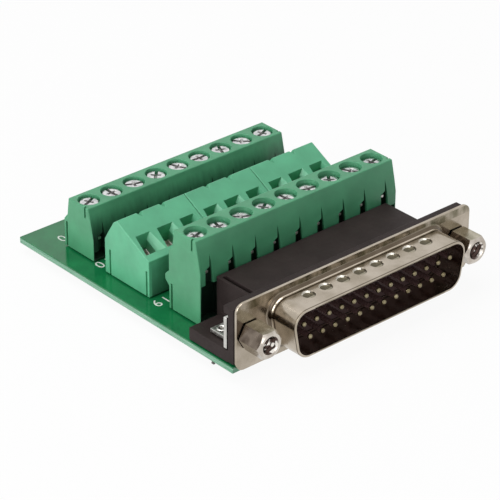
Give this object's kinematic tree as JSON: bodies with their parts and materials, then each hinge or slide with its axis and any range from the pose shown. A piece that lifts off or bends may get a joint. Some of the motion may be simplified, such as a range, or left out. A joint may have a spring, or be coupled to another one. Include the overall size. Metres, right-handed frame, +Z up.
{
  "type": "d-sub terminal block adapter",
  "caption": "Breakout board that brings a right-angle D-sub plug out to three stepped rows of screw terminals.",
  "frame": {"origin": "middle of the outline, at the height of the solder pins' tips", "axes": "+X along the connector, to the right as one faces it; +Y back from the connector over the terminal rows; +Z up from the board"},
  "size_m": [0.0534, 0.0644, 0.0189],
  "materials": {
    "green_housing": "satin moulded green nylon",
    "mint_housing": "satin moulded mint green nylon",
    "black_moulding": "satin moulded black plastic",
    "insulator_moulding": "smooth dark brown plastic",
    "solder_mask": "green solder mask over glass laminate, pale sawn edges",
    "nickel_plate": "bright warm nickel plate over drawn steel",
    "standoff_nickel": "nickel plate over turned brass",
    "tinned_strap": "dull tin plate",
    "screw_zinc": "bright zinc plate"
  },
  "bodies": {
    "board_assembly": {"connector_body": "black_moulding", "connector_shell": "nickel_plate", "contact_insulator": "insulator_moulding", "front_row_housing": "green_housing", "ground_strap_left": "tinned_strap", "ground_strap_right": "tinned_strap", "hex_standoff_left": "standoff_nickel", "hex_standoff_right": "standoff_nickel", "middle_module_1": "mint_housing", "middle_module_2": "mint_housing", "middle_module_3": "mint_housing", "printed_board": "solder_mask", "rear_row_housing": "green_housing", "strap_eyelet_left": "tinned_strap", "strap_eyelet_right": "tinned_strap"},
    "front_screw_1": {"front_screw_1": "screw_zinc"},
    "front_screw_2": {"front_screw_2": "screw_zinc"},
    "front_screw_3": {"front_screw_3": "screw_zinc"},
    "front_screw_4": {"front_screw_4": "screw_zinc"},
    "front_screw_5": {"front_screw_5": "screw_zinc"},
    "front_screw_6": {"front_screw_6": "screw_zinc"},
    "front_screw_7": {"front_screw_7": "screw_zinc"},
    "front_screw_8": {"front_screw_8": "screw_zinc"},
    "front_screw_9": {"front_screw_9": "screw_zinc"},
    "middle_screw_1": {"middle_screw_1": "screw_zinc"},
    "middle_screw_2": {"middle_screw_2": "screw_zinc"},
    "middle_screw_3": {"middle_screw_3": "screw_zinc"},
    "middle_screw_4": {"middle_screw_4": "screw_zinc"},
    "middle_screw_5": {"middle_screw_5": "screw_zinc"},
    "middle_screw_6": {"middle_screw_6": "screw_zinc"},
    "middle_screw_7": {"middle_screw_7": "screw_zinc"},
    "middle_screw_8": {"middle_screw_8": "screw_zinc"},
    "middle_screw_9": {"middle_screw_9": "screw_zinc"},
    "rear_screw_1": {"rear_screw_1": "screw_zinc"},
    "rear_screw_2": {"rear_screw_2": "screw_zinc"},
    "rear_screw_3": {"rear_screw_3": "screw_zinc"},
    "rear_screw_4": {"rear_screw_4": "screw_zinc"},
    "rear_screw_5": {"rear_screw_5": "screw_zinc"},
    "rear_screw_6": {"rear_screw_6": "screw_zinc"},
    "rear_screw_7": {"rear_screw_7": "screw_zinc"},
    "rear_screw_8": {"rear_screw_8": "screw_zinc"},
    "rear_screw_9": {"rear_screw_9": "screw_zinc"}
  },
  "joints": [
    {"name": "front_screw_1_turn", "type": "hinge", "parent": "board_assembly", "child": "front_screw_1", "pos_m": [-0.0202, -0.00843, 0.018], "axis": [0, 0, 1], "range_deg": [-450, 990]},
    {"name": "front_screw_2_turn", "type": "hinge", "parent": "board_assembly", "child": "front_screw_2", "pos_m": [-0.0152, -0.00843, 0.018], "axis": [0, 0, 1], "range_deg": [-450, 990]},
    {"name": "front_screw_3_turn", "type": "hinge", "parent": "board_assembly", "child": "front_screw_3", "pos_m": [-0.0102, -0.00843, 0.018], "axis": [0, 0, 1], "range_deg": [-450, 990]},
    {"name": "front_screw_4_turn", "type": "hinge", "parent": "board_assembly", "child": "front_screw_4", "pos_m": [-0.0052, -0.00843, 0.018], "axis": [0, 0, 1], "range_deg": [-450, 990]},
    {"name": "front_screw_5_turn", "type": "hinge", "parent": "board_assembly", "child": "front_screw_5", "pos_m": [-0.0002, -0.00843, 0.018], "axis": [0, 0, 1], "range_deg": [-450, 990]},
    {"name": "front_screw_6_turn", "type": "hinge", "parent": "board_assembly", "child": "front_screw_6", "pos_m": [0.0048, -0.00843, 0.018], "axis": [0, 0, 1], "range_deg": [-450, 990]},
    {"name": "front_screw_7_turn", "type": "hinge", "parent": "board_assembly", "child": "front_screw_7", "pos_m": [0.0098, -0.00843, 0.018], "axis": [0, 0, 1], "range_deg": [-450, 990]},
    {"name": "front_screw_8_turn", "type": "hinge", "parent": "board_assembly", "child": "front_screw_8", "pos_m": [0.0148, -0.00843, 0.018], "axis": [0, 0, 1], "range_deg": [-450, 990]},
    {"name": "front_screw_9_turn", "type": "hinge", "parent": "board_assembly", "child": "front_screw_9", "pos_m": [0.0198, -0.00843, 0.018], "axis": [0, 0, 1], "range_deg": [-450, 990]},
    {"name": "middle_screw_1_turn", "type": "hinge", "parent": "board_assembly", "child": "middle_screw_1", "pos_m": [-0.0207, 0.01063, 0.01171], "axis": [0, 0.8509, 0.5253], "range_deg": [-1350, 90]},
    {"name": "middle_screw_2_turn", "type": "hinge", "parent": "board_assembly", "child": "middle_screw_2", "pos_m": [-0.0157, 0.01063, 0.01171], "axis": [0, 0.8509, 0.5253], "range_deg": [-1350, 90]},
    {"name": "middle_screw_3_turn", "type": "hinge", "parent": "board_assembly", "child": "middle_screw_3", "pos_m": [-0.0107, 0.01063, 0.01171], "axis": [0, 0.8509, 0.5253], "range_deg": [-1350, 90]},
    {"name": "middle_screw_4_turn", "type": "hinge", "parent": "board_assembly", "child": "middle_screw_4", "pos_m": [-0.0057, 0.01063, 0.01171], "axis": [0, 0.8509, 0.5253], "range_deg": [-1350, 90]},
    {"name": "middle_screw_5_turn", "type": "hinge", "parent": "board_assembly", "child": "middle_screw_5", "pos_m": [-0.0007, 0.01063, 0.01171], "axis": [0, 0.8509, 0.5253], "range_deg": [-1350, 90]},
    {"name": "middle_screw_6_turn", "type": "hinge", "parent": "board_assembly", "child": "middle_screw_6", "pos_m": [0.0043, 0.01063, 0.01171], "axis": [0, 0.8509, 0.5253], "range_deg": [-1350, 90]},
    {"name": "middle_screw_7_turn", "type": "hinge", "parent": "board_assembly", "child": "middle_screw_7", "pos_m": [0.0093, 0.01063, 0.01171], "axis": [0, 0.8509, 0.5253], "range_deg": [-1350, 90]},
    {"name": "middle_screw_8_turn", "type": "hinge", "parent": "board_assembly", "child": "middle_screw_8", "pos_m": [0.0143, 0.01063, 0.01171], "axis": [0, 0.8509, 0.5253], "range_deg": [-1350, 90]},
    {"name": "middle_screw_9_turn", "type": "hinge", "parent": "board_assembly", "child": "middle_screw_9", "pos_m": [0.0193, 0.01063, 0.01171], "axis": [0, 0.8509, 0.5253], "range_deg": [-1350, 90]},
    {"name": "rear_screw_1_turn", "type": "hinge", "parent": "board_assembly", "child": "rear_screw_1", "pos_m": [-0.0202, 0.02022, 0.0128], "axis": [0, 0, 1], "range_deg": [-1350, 90]},
    {"name": "rear_screw_2_turn", "type": "hinge", "parent": "board_assembly", "child": "rear_screw_2", "pos_m": [-0.0152, 0.02022, 0.0128], "axis": [0, 0, 1], "range_deg": [-1350, 90]},
    {"name": "rear_screw_3_turn", "type": "hinge", "parent": "board_assembly", "child": "rear_screw_3", "pos_m": [-0.0102, 0.02022, 0.0128], "axis": [0, 0, 1], "range_deg": [-1350, 90]},
    {"name": "rear_screw_4_turn", "type": "hinge", "parent": "board_assembly", "child": "rear_screw_4", "pos_m": [-0.0052, 0.02022, 0.0128], "axis": [0, 0, 1], "range_deg": [-1350, 90]},
    {"name": "rear_screw_5_turn", "type": "hinge", "parent": "board_assembly", "child": "rear_screw_5", "pos_m": [-0.0002, 0.02022, 0.0128], "axis": [0, 0, 1], "range_deg": [-1350, 90]},
    {"name": "rear_screw_6_turn", "type": "hinge", "parent": "board_assembly", "child": "rear_screw_6", "pos_m": [0.0048, 0.02022, 0.0128], "axis": [0, 0, 1], "range_deg": [-1350, 90]},
    {"name": "rear_screw_7_turn", "type": "hinge", "parent": "board_assembly", "child": "rear_screw_7", "pos_m": [0.0098, 0.02022, 0.0128], "axis": [0, 0, 1], "range_deg": [-1350, 90]},
    {"name": "rear_screw_8_turn", "type": "hinge", "parent": "board_assembly", "child": "rear_screw_8", "pos_m": [0.0148, 0.02022, 0.0128], "axis": [0, 0, 1], "range_deg": [-1350, 90]},
    {"name": "rear_screw_9_turn", "type": "hinge", "parent": "board_assembly", "child": "rear_screw_9", "pos_m": [0.0198, 0.02022, 0.0128], "axis": [0, 0, 1], "range_deg": [-1350, 90]}
  ]
}
